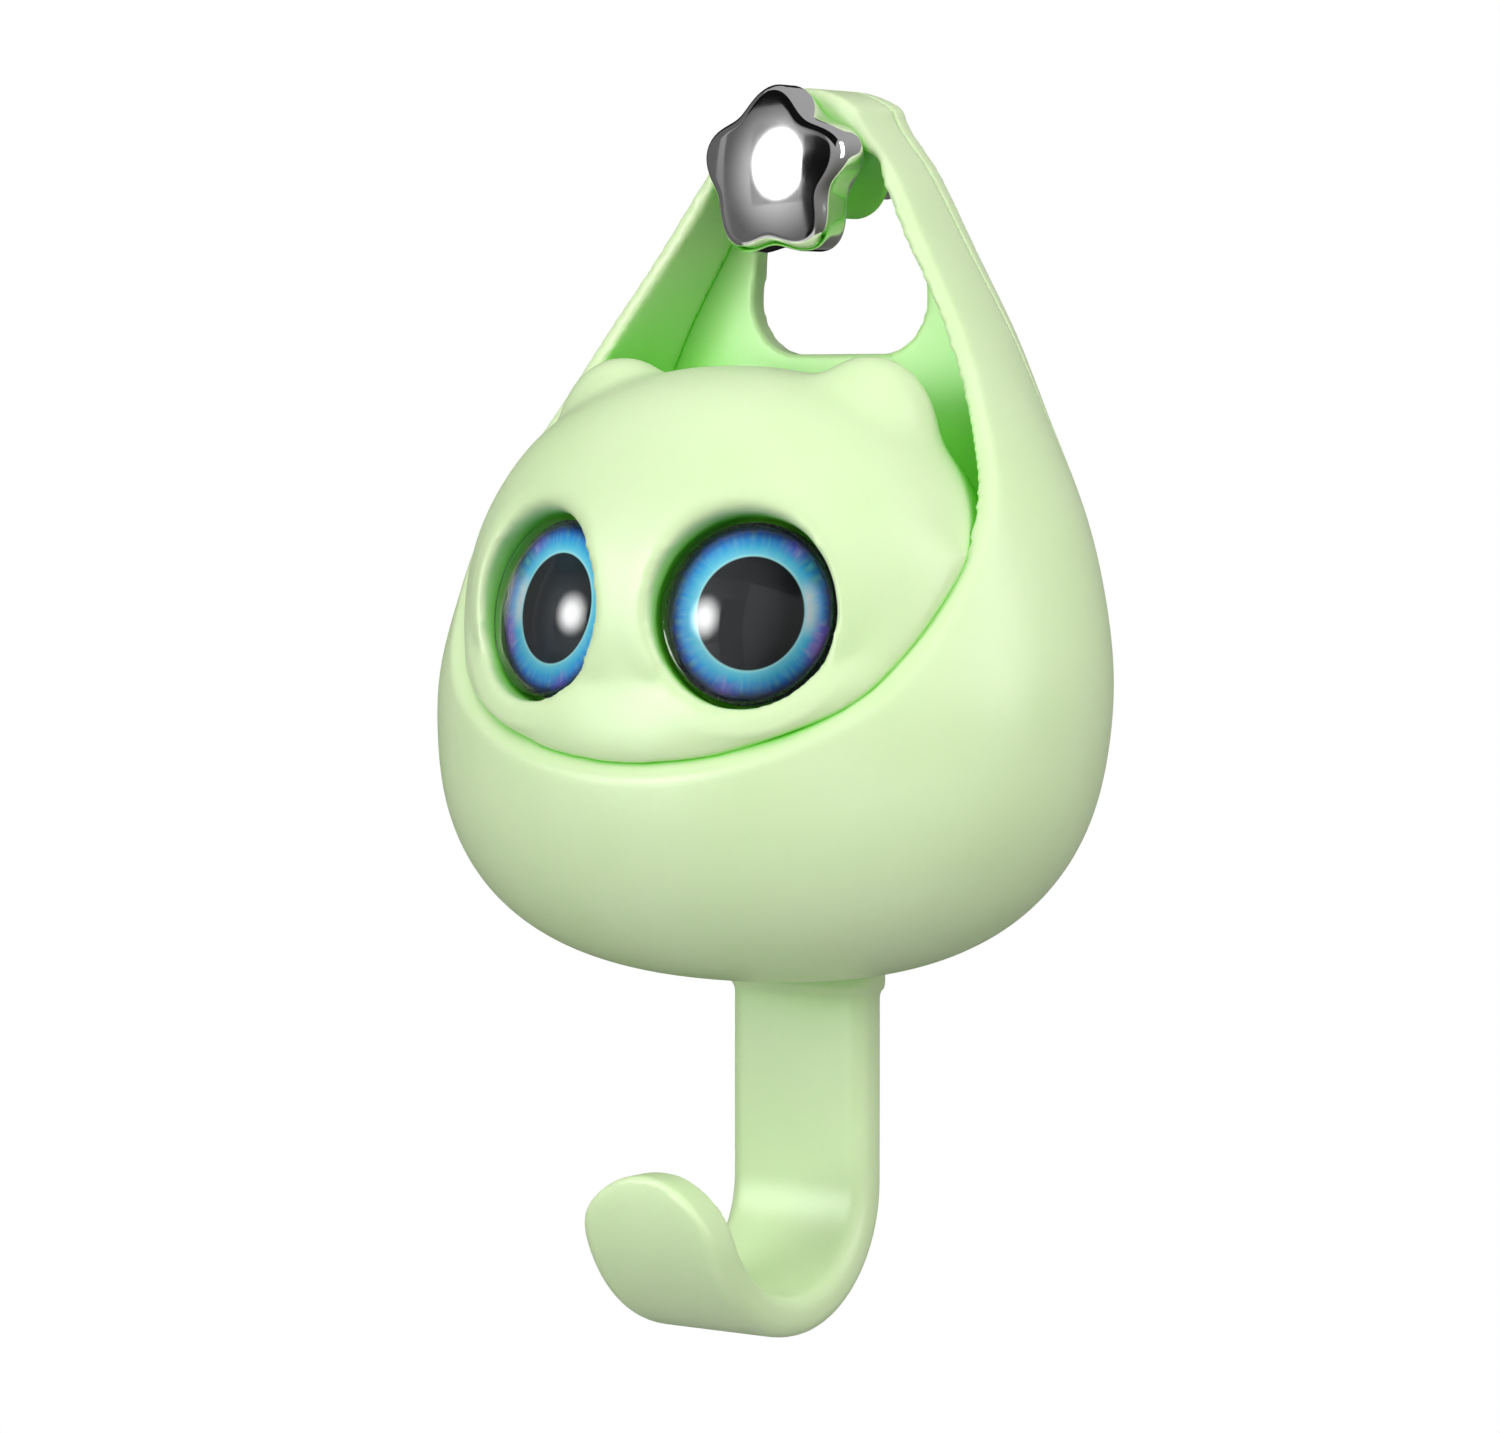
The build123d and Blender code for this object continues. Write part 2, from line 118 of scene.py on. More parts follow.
# --- the printed iris: places are shares of its radius, or of a turn ------------
PUPIL = 0.66
STREAKS_ROUND = 46.0
STREAKS_OUT = 2.2
STREAK_WANDER = 0.035
IRIS_BLUES = [
    (0.66, (0.22, 0.84, 1.0)), (0.76, (0.06, 0.62, 0.98)), (0.84, (0.02, 0.33, 0.90)),
    (0.91, (0.010, 0.085, 0.46)), (0.965, (0.004, 0.010, 0.07))]
IRIS_PATCHES = [            # purple and teal patches round the iris; the fourth number is their strength
    (0.17, (0.25, 0.05, 0.65, 0.0)), (0.205, (0.28, 0.06, 0.70, 1.0)),
    (0.245, (0.10, 0.10, 0.70, 0.0)), (0.385, (0.30, 0.04, 0.60, 0.0)),
    (0.425, (0.45, 0.04, 0.65, 1.0)), (0.475, (0.35, 0.06, 0.70, 1.0)),
    (0.50, (0.05, 0.20, 0.60, 0.0)), (0.545, (0.01, 0.22, 0.25, 0.0)),
    (0.565, (0.008, 0.20, 0.20, 1.0)), (0.615, (0.01, 0.30, 0.28, 1.0)),
    (0.650, (0.30, 0.08, 0.70, 1.0)), (0.70, (0.16, 0.08, 0.65, 0.0))]
PATCH_BAND = [
    (0.76, BLACK_RGB), (0.86, WHITE_RGB), (0.93, (0.7, 0.7, 0.7)), (0.98, (0.1, 0.1, 0.1))]
GLINT_SECTOR = [(0.43, BLACK_RGB), (0.49, WHITE_RGB), (0.54, WHITE_RGB), (0.60, BLACK_RGB)]
GLINT_BAND = [(0.70, WHITE_RGB), (0.90, BLACK_RGB)]
STREAK_BAND = [(0.86, WHITE_RGB), (0.96, BLACK_RGB)]
PUPIL_LINE = [(PUPIL, WHITE_RGB), (PUPIL + 0.035, BLACK_RGB)]
PUPIL_DISC = [(PUPIL - 0.012, WHITE_RGB), (PUPIL + 0.004, BLACK_RGB)]
GLINT_RGB = (0.85, 0.97, 1.0)
STREAK_RGB = (0.20, 0.75, 1.0)
PUPIL_LINE_RGB = (0.45, 0.95, 1.0)
PUPIL_RGB = (0.004, 0.004, 0.005)

# --- cap ----------------------------------------------------------------------
PETALS = 5
PETAL = 0.8 * MM            # how far a petal stands out from the mean radius
PETAL_STEPS = 60
CAP_CROWN = 1.3 * MM        # how far the front face falls towards its edge
CAP_FRONT_SOFT = 1.05 * MM
CAP_BACK_SOFT = 0.3 * MM
CAP_SPIGOT_R = 2.7 * MM
CAP_BACK_Y = -9.8 * MM
CAP_FACE_RINGS = 25
CAP_FRONT_RINGS = 8
CAP_WALL_RINGS = 4
CAP_BACK_RINGS = 5

# --- studio -------------------------------------------------------------------
# name, azimuth, elevation, distance, width, height, power, colour, ellipse, seen in reflections
LIGHTS = [
    ("key", -22, 4, 0.60, 0.21, 0.24, 1.3, WHITE_RGB, True, False),
    ("top", 5, 60, 0.60, 0.40, 0.30, 0.95, WHITE_RGB, False, False),
    ("fill", 30, 28, 0.60, 0.45, 0.35, 1.05, WHITE_RGB, False, False),
    ("right", 82, 20, 0.55, 0.22, 0.45, 1.3, (1.0, 0.96, 0.985), False, True),
]
# name, azimuth, elevation, distance, width, height, glow, glow at the edge
CARDS = [
    ("key_glow", -29, 10, 0.60, 0.30, 0.30, 24.0, 0.3),
    ("halo", -30, 7, 0.66, 0.70, 0.70, 0.75, 0.13),
    ("dark_front", -9, -2, 0.50, 0.145, 0.44, 0.004, None),
    ("dark_above", -10, 56, 0.50, 0.9, 0.42, 0.005, None),
    ("grey_left", -87, 5, 0.55, 0.50, 0.9, 0.13, None),
    ("dark_left", -132, 10, 0.50, 0.40, 0.9, 0.01, None),
    ("pale_below", -25, -46, 0.55, 0.7, 0.36, 0.62, None),
]
CARD_GLOW_ENDS = 0.12       # of half the card's width: the full glow in the middle
WORLD_SHADES = [(0.1, (0.055, 0.055, 0.04)), (0.75, (0.40, 0.395, 0.40))]
FLOOR_HALF = 0.30
FLOOR_DROP = 0.32


# ==============================================================================
# Materials
# ==============================================================================
class Nodes:
    """The node tree of a material or a world, and short ways to add to it."""

    def __init__(self, owner):
        owner.use_nodes = True
        self.owner = owner
        self.tree = owner.node_tree

    def add(self, kind, **settings):
        node = self.tree.nodes.new(kind)
        for key, value in settings.items():
            setattr(node, key, value)
        return node

    def link(self, source, target):
        self.tree.links.new(source, target)

    def feed(self, value, socket):
        """Link a socket, or set a plain number or colour."""
        if isinstance(value, bpy.types.NodeSocket):
            self.link(value, socket)
        elif isinstance(value, tuple):
            socket.default_value = (*value, 1.0)
        else:
            socket.default_value = value

    def coords(self):
        return self.add("ShaderNodeTexCoord").outputs["Object"]

    def noise(self, vector, scale, detail=3.0, rough=0.5):
        node = self.add("ShaderNodeTexNoise")
        node.inputs["Scale"].default_value = scale
        node.inputs["Detail"].default_value = detail
        node.inputs["Roughness"].default_value = rough
        self.link(vector, node.inputs["Vector"])
        return node.outputs["Fac"]

    def span(self, value, low, high, to_low, to_high):
        node = self.add("ShaderNodeMapRange")
        keys = ("From Min", "From Max", "To Min", "To Max")
        for key, number in zip(keys, (low, high, to_low, to_high)):
            node.inputs[key].default_value = number
        self.link(value, node.inputs["Value"])
        return node.outputs["Result"]

    def ramp(self, value, stops, mode="LINEAR"):
        node = self.add("ShaderNodeValToRGB")
        node.color_ramp.interpolation = mode
        elements = node.color_ramp.elements
        while len(elements) < len(stops):
            elements.new(0.5)
        for element, (place, colour) in zip(elements, stops):
            element.position = place
            element.color = colour if len(colour) == 4 else (*colour, 1.0)
        self.link(value, node.inputs["Fac"])
        return node.outputs

    def mix(self, factor, first, second, mode="MIX"):
        node = self.add("ShaderNodeMix", data_type="RGBA", blend_type=mode)
        for value, place in ((factor, 0), (first, 6), (second, 7)):
            self.feed(value, node.inputs[place])
        return node.outputs[2]

    def math(self, operation, first, second=0.0):
        node = self.add("ShaderNodeMath", operation=operation)
        self.feed(first, node.inputs[0])
        self.feed(second, node.inputs[1])
        return node.outputs[0]

    def mix_shaders(self, factor, first, second, out):
        node = self.add("ShaderNodeMixShader")
        self.feed(factor, node.inputs[0])
        self.link(first, node.inputs[1])
        self.link(second, node.inputs[2])
        self.link(node.outputs["Shader"], out.inputs["Surface"])


class Material(Nodes):
    """A new material; shader is its Principled BSDF."""

    def __init__(self, name):
        super().__init__(bpy.data.materials.new(name))
        self.shader = self.tree.nodes["Principled BSDF"]
        self.out = self.tree.nodes["Material Output"]

    def drop_shader(self):
        self.tree.nodes.remove(self.shader)

    def set(self, **values):
        """Constants on the shader: subsurface_scale stands for Subsurface Scale."""
        for key, value in values.items():
            name = "IOR" if key == "ior" else key.replace("_", " ").title()
            self.shader.inputs[name].default_value = value

    def colour(self, source):
        self.link(source, self.shader.inputs["Base Color"])

    def roughness(self, source, smooth, dull, low=0.3, high=0.7):
        """Roughness from smooth to dull while the noise goes from low to high."""
        self.link(self.span(source, low, high, smooth, dull), self.shader.inputs["Roughness"])

    def bump(self, height, strength, distance):
        node = self.add("ShaderNodeBump")
        node.inputs["Strength"].default_value = strength
        node.inputs["Distance"].default_value = distance
        self.link(height, node.inputs["Height"])
        self.link(node.outputs["Normal"], self.shader.inputs["Normal"])


PLASTIC_IOR = 1.49


def mint_plastic():
    """Pale mint plastic with painted shade: hollows, creases and gaps between parts are painted a deep
    green by ambient occlusion.
    """
    m = Material("mint_plastic")
    at = m.coords()
    clouds = m.noise(at, scale=55.0)
    base = m.mix(m.span(clouds, 0.3, 0.7, 0.0, 1.0), (0.625, 0.815, 0.45), (0.68, 0.845, 0.515))
    # painted shade: where ambient occlusion finds little open space, the colour is painted a deep
    # saturated green in place of shade
    occlusion = m.add("ShaderNodeAmbientOcclusion", samples=8)
    occlusion.inputs["Distance"].default_value = 16.0 * MM
    painted_shade = m.ramp(occlusion.outputs["AO"], [(0.12, WHITE_RGB), (0.72, BLACK_RGB)], "EASE")
    m.colour(m.mix(painted_shade["Color"], base, (0.21, 0.86, 0.045)))
    grain = m.noise(at, scale=2600.0, detail=2.0, rough=0.6)
    m.roughness(grain, 0.36, 0.46)
    m.set(ior=PLASTIC_IOR, coat_weight=0.12, coat_roughness=0.3, subsurface_weight=0.22,
          subsurface_radius=(0.7, 1.0, 0.45), subsurface_scale=2.2 * MM)
    m.bump(m.math("ADD", grain, m.math("MULTIPLY", clouds, 0.6)), strength=0.10, distance=0.06 * MM)
    return m.owner


def deep_green_plastic():
    m = Material("deep_green_plastic")
    at = m.coords()
    m.colour(m.mix(m.noise(at, scale=140.0), (0.25, 0.84, 0.09), (0.33, 0.90, 0.14)))
    grain = m.noise(at, scale=3000.0, detail=2.0)
    m.roughness(grain, 0.34, 0.46)
    m.set(ior=PLASTIC_IOR)
    m.bump(grain, strength=0.12, distance=0.05 * MM)
    return m.owner


def cap_chrome():
    m = Material("cap_chrome")
    at = m.coords()
    smears = m.noise(at, scale=260.0, detail=4.0)
    m.colour(m.mix(smears, (0.80, 0.80, 0.81), (0.88, 0.88, 0.88)))
    m.set(metallic=1.0)
    m.roughness(smears, 0.05, 0.11, low=0.35)
    m.bump(m.noise(at, scale=380.0, detail=2.0), strength=0.03, distance=0.04 * MM)
    return m.owner


def steel(name, dark, light, smooth, dull):
    m = Material(name)
    at = m.coords()
    spots = m.noise(at, scale=900.0, detail=4.0)
    m.colour(m.mix(spots, dark, light))
    m.set(metallic=1.0)
    m.roughness(spots, smooth, dull)
    m.bump(m.noise(at, scale=2400.0, detail=2.0), strength=0.15, distance=0.03 * MM)
    return m.owner


def plain(name, dark, light, smooth, dull, scale, detail, strength, distance):
    """Rubber or dull plastic: one grain gives its colour, roughness and bump."""
    m = Material(name)
    grain = m.noise(m.coords(), scale, detail)
    m.colour(m.mix(grain, dark, light))
    m.roughness(grain, smooth, dull)
    m.bump(grain, strength, distance)
    return m.owner


def clear_and_gloss(m, tint, scale, smooth, dull, low=0.3):
    """A transparent and a glossy shader, for a material that mixes them."""
    m.drop_shader()
    clear = m.add("ShaderNodeBsdfTransparent")
    m.feed(tint, clear.inputs["Color"])
    gloss = m.add("ShaderNodeBsdfGlossy")
    smears = m.noise(m.coords(), scale)
    m.link(m.span(smears, low, 0.7, smooth, dull), gloss.inputs["Roughness"])
    return clear.outputs["BSDF"], gloss


def eye_clear():
    """Clear polished acrylic: a reflection that grows towards the edge, over nothing at all."""
    m = Material("eye_clear")
    clear, gloss = clear_and_gloss(m, (0.97, 0.985, 1.0), 500.0, 0.03, 0.07, low=0.4)
    gloss.inputs["Color"].default_value = (1.0, 1.0, 1.0, 1.0)
    fresnel = m.add("ShaderNodeFresnel")
    fresnel.inputs["IOR"].default_value = 1.5
    m.mix_shaders(fresnel.outputs["Fac"], clear, gloss.outputs["BSDF"], m.out)
    return m.owner


def eye_clear_back():
    """The lens's flat back and edge, which lie against the print: nearly nothing."""
    m = Material("eye_clear_back")
    clear, gloss = clear_and_gloss(m, WHITE_RGB, 700.0, 0.1, 0.2)
    m.mix_shaders(0.015, clear, gloss.outputs["BSDF"], m.out)
    return m.owner


def eye_print(name, mirror):
    """A black pupil in a blue iris, from the distance and the angle round the eye's own axis."""
    m = Material(name)
    split = m.add("ShaderNodeSeparateXYZ")
    m.link(m.coords(), split.inputs[0])
    across = m.math("MULTIPLY", split.outputs["X"], mirror)
    up = split.outputs["Y"]
    squares = m.math("ADD", m.math("MULTIPLY", across, across), m.math("MULTIPLY", up, up))
    radius = m.math("MULTIPLY", m.math("SQRT", squares), 1.0 / IRIS_R)
    angle = m.math("ARCTAN2", up, across)
    turn = m.math("ADD", m.math("MULTIPLY", angle, 1.0 / math.tau), 0.5)

    polar = m.add("ShaderNodeCombineXYZ")
    m.link(m.math("MULTIPLY", turn, STREAKS_ROUND), polar.inputs[0])
    m.link(m.math("MULTIPLY", radius, STREAKS_OUT), polar.inputs[1])
    streaks = m.noise(polar.outputs[0], scale=1.6, rough=0.6)
    wander = m.span(streaks, 0.25, 0.75, -STREAK_WANDER, STREAK_WANDER)
    rough_radius = m.math("ADD", radius, wander)

    # the blue rings, with coloured patches near the rim
    ring = m.ramp(rough_radius, IRIS_BLUES)
    patches = m.ramp(turn, IRIS_PATCHES)
    band = m.ramp(rough_radius, PATCH_BAND)
    strength = m.math("MULTIPLY", patches["Alpha"], band["Color"])
    strength = m.math("MULTIPLY", strength, m.span(streaks, 0.35, 0.65, 0.35, 1.0))
    colour = m.mix(strength, ring["Color"], patches["Color"])

    # a pale glint on one side, and light streaks all round
    glint = m.ramp(turn, GLINT_SECTOR, "EASE")
    inner = m.ramp(rough_radius, GLINT_BAND, "EASE")
    colour = m.mix(m.math("MULTIPLY", glint["Color"], inner["Color"]), colour, GLINT_RGB)
    light = m.math("MULTIPLY", m.span(streaks, 0.40, 0.70, 0.0, 0.6),
                   m.ramp(radius, STREAK_BAND)["Color"])
    colour = m.mix(light, colour, STREAK_RGB, "SCREEN")

    # a fine line round the pupil, and the pupil
    colour = m.mix(m.ramp(radius, PUPIL_LINE)["Color"], colour, PUPIL_LINE_RGB)
    m.colour(m.mix(m.ramp(radius, PUPIL_DISC)["Color"], colour, PUPIL_RGB))
    m.roughness(streaks, 0.30, 0.40)
    m.bump(streaks, strength=0.1, distance=0.03 * MM)
    return m.owner


MINT = mint_plastic()
GREEN = deep_green_plastic()
CHROME = cap_chrome()
ZINC = steel("zinc_steel", (0.52, 0.52, 0.50), (0.70, 0.70, 0.68), 0.26, 0.44)
WASHER = steel("washer_steel", (0.42, 0.42, 0.42), (0.58, 0.58, 0.58), 0.34, 0.52)
RUBBER = plain("bumper_rubber", (0.50, 0.50, 0.48), (0.62, 0.62, 0.60), 0.6, 0.8,
               scale=1800.0, detail=4.0, strength=0.3, distance=0.05 * MM)
BLACK = plain("eye_black", (0.006, 0.006, 0.008), (0.014, 0.014, 0.016), 0.22, 0.34,
              scale=2200.0, detail=3.0, strength=0.1, distance=0.03 * MM)
CLEAR = eye_clear()
CLEAR_BACK = eye_clear_back()


# ==============================================================================
# Pieces
# ==============================================================================
EYES = {side: next(joint for joint in frame["joints"] if joint["name"] == f"eye_{side}_spin")
        for side in ("left", "right")}


def finish_piece(piece, material, slot, body, *nodes):
    piece.data.materials.clear()
    piece.data.materials.append(material)
    for polygon in piece.data.polygons:
        polygon.use_smooth = True
        polygon.material_index = 0
    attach(piece, body)
    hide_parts(*nodes)


def clamp(value):
    return max(0.0, min(1.0, value))


# How much a point is softened: each weight is clamped to 0..1 where it is used.
def in_front_of_joint(co):
    """0 at the joint face between shell and plate, 1 a little in front of it."""
    return (PLATE_Y - SEAM_KEEP - co.y) / SHELL_FADE


def upper_edge(co):
    """The loop and the upper edges are rounder than the edge round the chin."""
    return min(in_front_of_joint(co), (co.z - UPPER_EDGE_Z) / UPPER_EDGE_FADE)


def behind_joint(co):
    return (co.y - PLATE_Y - SEAM_KEEP) / PLATE_FADE


def near_ears(co):
    return (co.z - EARS_Z) / HEAD_FADE


def everywhere(co):
    return 1.0


def distance_to_sight(co, side):
    """How far a point is from the line of sight of one eye."""
    joint = EYES[side]
    return (co - Vector(joint["pos_m"])).cross(Vector(joint["axis"])).length


def round_the_chin(co):
    """The lower face, where the chin swells out, but not the sockets' rims."""
    nearest = min(distance_to_sight(co, side) for side in EYES)
    clear_of_eyes = clamp((nearest - SOCKET_CLEAR) / SOCKET_FADE)
    low = min(1.0, max(0.0, (CHIN_TOP_Z - co.z) / HEAD_FADE), max(0.0, (CHIN_BACK_Y - co.y) / HEAD_FADE))
    return clear_of_eyes * low


def apply_modifiers(piece):
    bpy.context.view_layer.update()
    depsgraph = bpy.context.evaluated_depsgraph_get()
    mesh = bpy.data.meshes.new_from_object(piece.evaluated_get(depsgraph))
    piece.modifiers.clear()
    piece.data = mesh


def softened(node, name, voxel, rounds, grow):
    """The CAD node's shape with soft edges. rounds lists (smoothing steps, weight of a point)."""
    piece = bpy.data.objects.new(name, frame["nodes"][node].data.copy())
    bpy.context.scene.collection.objects.link(piece)
    remesh = piece.modifiers.new("even", "REMESH")
    remesh.mode = "VOXEL"
    remesh.voxel_size = voxel
    if grow:
        swell = piece.modifiers.new("swell", "DISPLACE")
        swell.mid_level = 0.0
        swell.strength = grow
    apply_modifiers(piece)
    for steps, weight in rounds:
        group = piece.vertex_groups.new(name="soft")
        for vertex in piece.data.vertices:
            group.add([vertex.index], clamp(weight(vertex.co)), "REPLACE")
        smooth = piece.modifiers.new("soft", "SMOOTH")
        smooth.factor = SMOOTH_FACTOR
        smooth.iterations = steps
        smooth.vertex_group = "soft"
        apply_modifiers(piece)
        piece.vertex_groups.clear()
    return piece


def mesh_object(name, points, faces):
    mesh = bpy.data.meshes.new(name)
    mesh.from_pydata(points, [], faces)
    mesh.update()
    piece = bpy.data.objects.new(name, mesh)
    bpy.context.scene.collection.objects.link(piece)
    return piece


def rings(name, outlines):
    """A skin over rings of points, all with the same count, closed at a middle point at each end."""
    count = len(outlines[0])
    points = [point for outline in outlines for point in outline]
    faces = []
    for ring in range(len(outlines) - 1):
        a, b = ring * count, (ring + 1) * count
        for i in range(count):
            j = (i + 1) % count
            faces.append((a + i, a + j, b + j, b + i))
    last = (len(outlines) - 1) * count
    for outline, base in ((outlines[0], 0), (outlines[-1], last)):
        middle = len(points)
        points.append(tuple(sum(axis) / count for axis in zip(*outline)))
        for i in range(count):
            j = (i + 1) % count
            first, second = (j, i) if base == 0 else (i, j)
            faces.append((middle, base + first, base + second))
    return mesh_object(name, points, faces)


def quarter_turn(steps):
    return [math.pi / 2 * k / steps for k in range(1, steps + 1)]


def flower():
    """Five rounded petals, a softly domed front and a plain spigot behind."""
    low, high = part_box("flower_cap")
    front_y, spigot_y = low.y, high.y
    middle_r = high.z - PETAL
    count = PETAL_STEPS * PETALS
    turns = [math.tau * i / count for i in range(count)]
    petals = [middle_r + PETAL * math.cos(PETALS * turn) for turn in turns]
    widest = max(petals)
    wall_start = front_y + CAP_CROWN + CAP_FRONT_SOFT
    wall_end = CAP_BACK_Y - CAP_BACK_SOFT

    levels = []             # the radii round a ring, its depth, and whether the front's dome shifts it
    for k in range(1, CAP_FACE_RINGS + 1):
        radii = [(radius - CAP_FRONT_SOFT) * k / CAP_FACE_RINGS for radius in petals]
        levels.append((radii, front_y, True))
    for angle in quarter_turn(CAP_FRONT_RINGS):
        inset = CAP_FRONT_SOFT * (1 - math.sin(angle))
        y = front_y + CAP_FRONT_SOFT * (1 - math.cos(angle))
        levels.append(([radius - inset for radius in petals], y, True))
    for k in range(1, CAP_WALL_RINGS + 1):
        levels.append((petals, wall_start + (wall_end - wall_start) * k / CAP_WALL_RINGS, False))
    for angle in quarter_turn(CAP_BACK_RINGS):
        inset = CAP_BACK_SOFT * (1 - math.cos(angle))
        y = wall_end + CAP_BACK_SOFT * math.sin(angle)
        levels.append(([radius - inset for radius in petals], y, False))
    for y in (CAP_BACK_Y, spigot_y):
        levels.append(([CAP_SPIGOT_R] * count, y, False))

    outlines = []
    for radii, y, domed in levels:
        outline = []
        for turn, radius in zip(turns, radii):
            fall = CAP_CROWN * min(1.0, radius / widest) ** 2 if domed else 0.0
            outline.append((radius * math.sin(turn), y + fall, radius * math.cos(turn)))
        outlines.append(outline)
    return rings("flower_cap_polished", outlines)


def eye_matrix(side):
    """The eye's own frame, from its joint: +Z along the line of sight, +X level."""
    joint = EYES[side]
    sight = Vector(joint["axis"]).normalized()
    level = Vector((-sight.y, sight.x, 0.0)).normalized()
    up = sight.cross(level)
    place = Matrix((level, up, sight)).transposed().to_4x4()
    place.translation = Vector(joint["pos_m"])
    return place


def turned(name, profile, place):
    """A round piece from a profile of (radius, height) in the eye's frame."""
    turns = [-math.tau * i / EYE_STEPS for i in range(EYE_STEPS)]
    outlines = [[(radius * math.cos(turn), radius * math.sin(turn), height) for turn in turns]
                for radius, height in profile]
    piece = rings(name, outlines)
    piece.matrix_world = place
    return piece


def dome_fall(radius):
    return DOME_R - math.sqrt(DOME_R ** 2 - radius ** 2)


def lens_profile():
    base = -RECESS - GIRDLE
    top = -RECESS + dome_fall(EYE_R)
    edge = EYE_R - RIM_SOFT
    radii = [edge * k / DOME_RINGS for k in range(1, DOME_RINGS + 1)]
    profile = [(radius, top - dome_fall(radius)) for radius in radii]
    start = profile[-1][1]
    for angle in quarter_turn(RIM_RINGS):
        fall = RIM_SOFT * RIM_FALL * (1 - math.cos(angle))
        profile.append((edge + RIM_SOFT * math.sin(angle), start - fall))
    profile += [(EYE_R, base + GIRDLE_CHAMFER), (EYE_R - GIRDLE_CHAMFER, base), (EYE_R / 2, base)]
    return profile


def iris_profile():
    top = -RECESS - GIRDLE - IRIS_GAP
    profile = [(IRIS_R * k / IRIS_RINGS, top) for k in range(1, IRIS_RINGS + 1)]
    profile += [(IRIS_R, top - IRIS_T), (IRIS_R / 2, top - IRIS_T)]
    return profile


# node, voxel, rounds of (smoothing steps, weight), swell
MINT_PIECES = [
    ("sling_shell", SHELL_VOXEL, [(9, in_front_of_joint), (5, upper_edge)], 0.0),
    ("back_plate", SHELL_VOXEL, [(6, behind_joint)], 0.0),
    ("head_front", HEAD_VOXEL, [(9, everywhere), (150, near_ears), (220, round_the_chin)], HEAD_SWELL),
    ("head_back", HEAD_VOXEL, [(3, everywhere)], 0.0),
    ("tail_hook", TAIL_VOXEL, [(10, everywhere)], 0.0),
]
for node, voxel, rounds, swell in MINT_PIECES:
    piece = softened(node, f"{node}_soft", voxel, rounds, swell)
    finish_piece(piece, MINT, "mint_plastic", "sling", node)
finish_piece(flower(), CHROME, "cap_chrome", "wall_mount", "flower_cap")

for side, mirror in (("left", -1.0), ("right", 1.0)):
    place = eye_matrix(side)
    body = f"eye_{side}"
    lens = turned(f"eye_lens_{side}_dome", lens_profile(), place)
    finish_piece(lens, CLEAR, "eye_clear", body, f"eye_lens_{side}")
    lens.data.materials.append(CLEAR_BACK)
    for polygon in lens.data.polygons:
        if polygon.center.z < LENS_BACK:
            polygon.material_index = 1
    iris = turned(f"eye_iris_{side}_print", iris_profile(), place)
    iris_print = eye_print(f"eye_print_{side}", mirror)
    finish_piece(iris, iris_print, "eye_print", body, f"eye_iris_{side}")

CARRIED = {
    "wall_peg": GREEN,
    "wall_screw": ZINC,
    "back_plate_screws": ZINC,
    "head_mount_screws": ZINC,
    "head_screws": ZINC,
    "tail_screws": ZINC,
    "wall_bumpers": RUBBER,
    "eye_cup_left": BLACK,
    "eye_cup_right": BLACK,
    "eye_lock_washer_left": WASHER,
    "eye_lock_washer_right": WASHER,
}
for node, material in CARRIED.items():
    for material_slot in frame["nodes"][node].material_slots:
        material_slot.material = material


# ==============================================================================
# Camera, lights and floor
# ==============================================================================
MIDDLE = (cad_low + cad_high) / 2


def add_camera():
    data = bpy.data.cameras.new("camera")
    data.lens = CAMERA_LENS
    data.sensor_width = SENSOR
    data.clip_start = CLIP_START
    camera = bpy.data.objects.new("camera", data)
    camera.location = CAMERA_AT
    camera.rotation_euler = (math.pi / 2 - CAMERA_DIP, 0, CAMERA_AZIMUTH)
    bpy.context.scene.collection.objects.link(camera)
    bpy.context.scene.camera = camera


def towards(azimuth, elevation, distance):
    """A point seen from the object's middle: azimuth 0 is straight in front (-Y), 90 is +X."""
    azimuth, elevation = math.radians(azimuth), math.radians(elevation)
    level = math.cos(elevation)
    sight = Vector((level * math.sin(azimuth), -level * math.cos(azimuth), math.sin(elevation)))
    return MIDDLE + distance * sight


def aim(thing, at):
    thing.location = at
    thing.rotation_euler = (MIDDLE - at).to_track_quat("-Z", "Y").to_euler()


def area_light(name, azimuth, elevation, distance, wide, high, power, colour, ellipse, mirrored):
    data = bpy.data.lights.new(name, "AREA")
    data.shape = "ELLIPSE" if ellipse else "RECTANGLE"
    data.size, data.size_y = wide, high
    data.energy = power
    data.color = colour
    light = bpy.data.objects.new(name, data)
    bpy.context.scene.collection.objects.link(light)
    aim(light, towards(azimuth, elevation, distance))
    light.visible_glossy = mirrored


def rectangle(name, half_wide, half_high, z):
    x, y = half_wide, half_high
    return mesh_object(name, [(-x, -y, z), (x, -y, z), (x, y, z), (-x, y, z)], [(0, 1, 2, 3)])


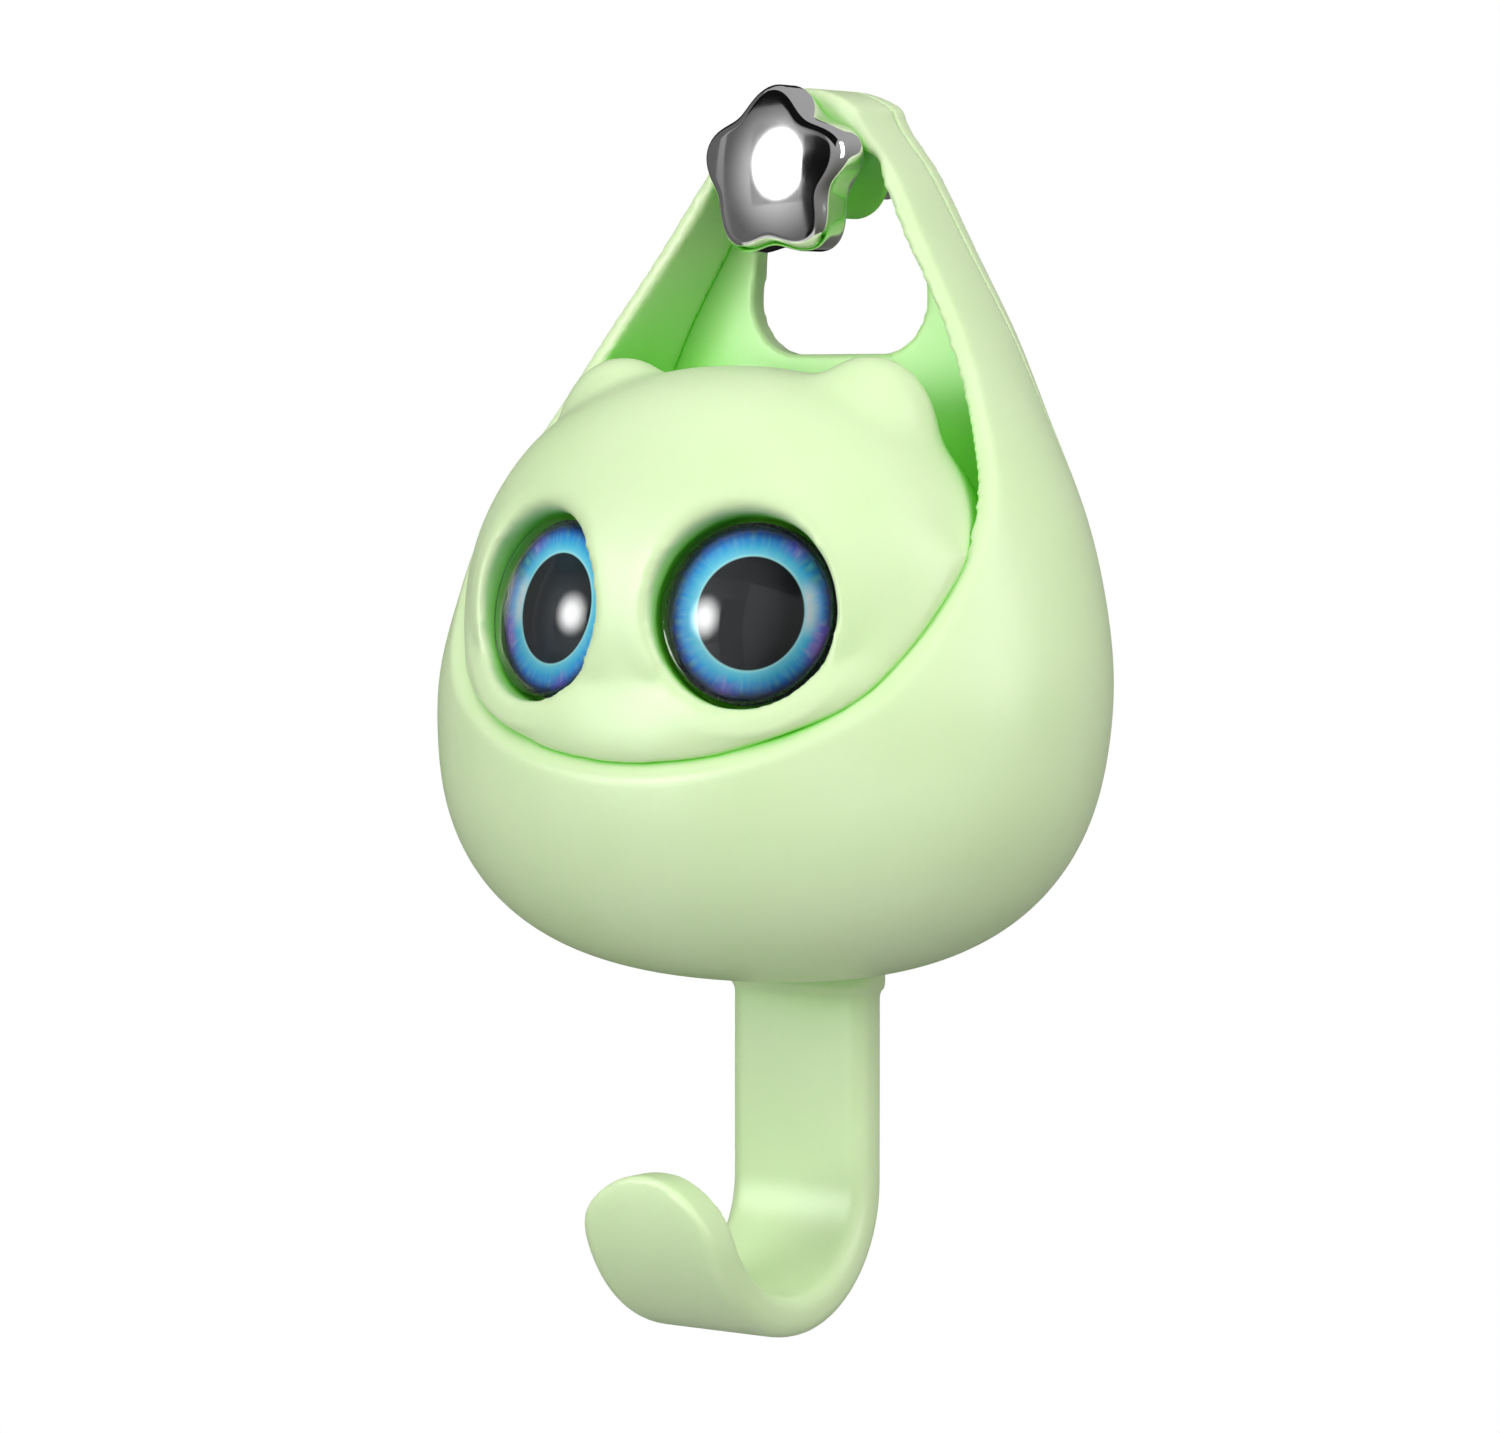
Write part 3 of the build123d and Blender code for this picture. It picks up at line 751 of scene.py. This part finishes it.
def card(name, azimuth, elevation, distance, wide, high, glow, edge_glow):
    """A card that only reflections see, as in a product studio."""
    piece = rectangle(name, wide / 2, high / 2, 0)
    m = Material(name)
    m.drop_shader()
    shade = m.add("ShaderNodeEmission")
    shade.inputs["Color"].default_value = (glow, glow, glow, 1.0)
    if edge_glow is not None:
        apart = m.add("ShaderNodeVectorMath", operation="LENGTH")
        m.link(m.coords(), apart.inputs[0])
        share = m.math("MULTIPLY", apart.outputs["Value"], 2.0 / wide)
        fade = m.ramp(share, [(CARD_GLOW_ENDS, (glow,) * 3), (1.0, (edge_glow,) * 3)], "EASE")
        m.link(fade["Color"], shade.inputs["Color"])
    m.link(shade.outputs["Emission"], m.out.inputs["Surface"])
    piece.data.materials.append(m.owner)
    aim(piece, towards(azimuth, elevation, distance))
    piece.visible_camera = False
    piece.visible_diffuse = False
    piece.visible_shadow = False
    piece.visible_transmission = False


def world():
    """White where the camera looks, and a dim gradient for the light and the reflections."""
    made = bpy.data.worlds.new("studio")
    bpy.context.scene.world = made
    n = Nodes(made)
    back = n.tree.nodes["Background"]
    seen = n.add("ShaderNodeBackground")
    seen.inputs["Color"].default_value = (1.0, 1.0, 1.0, 1.0)
    split = n.add("ShaderNodeSeparateXYZ")
    n.link(n.add("ShaderNodeTexCoord").outputs["Generated"], split.inputs[0])
    height = n.span(split.outputs["Z"], -1.0, 1.0, 0.0, 1.0)
    n.link(n.ramp(height, WORLD_SHADES)["Color"], back.inputs["Color"])
    back.inputs["Strength"].default_value = 1.0
    is_camera = n.add("ShaderNodeLightPath").outputs["Is Camera Ray"]
    n.mix_shaders(is_camera, back.outputs[0], seen.outputs[0], n.tree.nodes["World Output"])


def floor():
    piece = rectangle("floor", FLOOR_HALF, FLOOR_HALF, cad_low.z - FLOOR_DROP)
    m = Material("floor")
    grain = m.noise(m.coords(), scale=30.0)
    m.colour(m.mix(grain, (0.78, 0.78, 0.78), (0.84, 0.84, 0.84)))
    m.set(roughness=0.9)
    piece.data.materials.append(m.owner)


add_camera()
world()
floor()
for light in LIGHTS:
    area_light(*light)
for row in CARDS:
    card(*row)

bpy.context.scene.view_settings.view_transform = "Standard"
